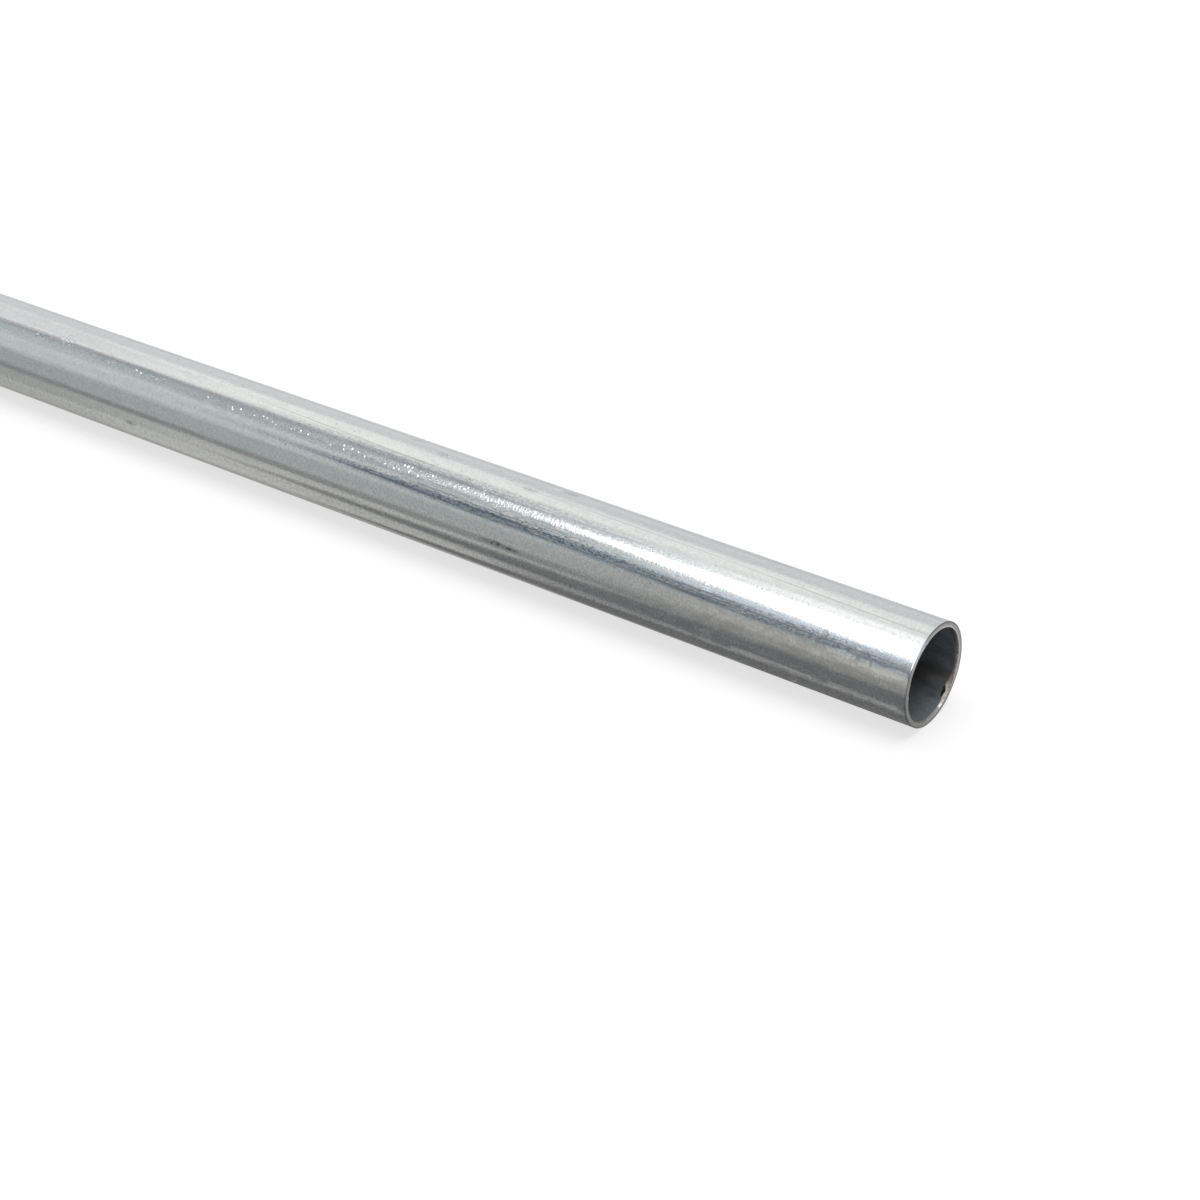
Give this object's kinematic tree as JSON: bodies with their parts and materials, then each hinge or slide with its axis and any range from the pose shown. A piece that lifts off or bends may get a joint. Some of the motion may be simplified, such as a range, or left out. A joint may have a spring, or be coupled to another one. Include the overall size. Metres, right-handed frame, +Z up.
{
  "type": "steel conduit",
  "caption": "Straight round thin-wall galvanized steel tube with a welded seam and square-cut, reamed open ends, a raceway that wiring is pulled through.",
  "frame": {"origin": "middle of the tube's length, under its axis, on the level surface that it lies on", "axes": "+X along the tube's axis, towards the end that the picture shows; +Z up; +Y away from the picture's camera side"},
  "size_m": [3.048, 0.018, 0.0179],
  "materials": {
    "galvanized_steel": "satin"
  },
  "bodies": {
    "root": {"conduit_tube": "galvanized_steel"}
  },
  "joints": []
}
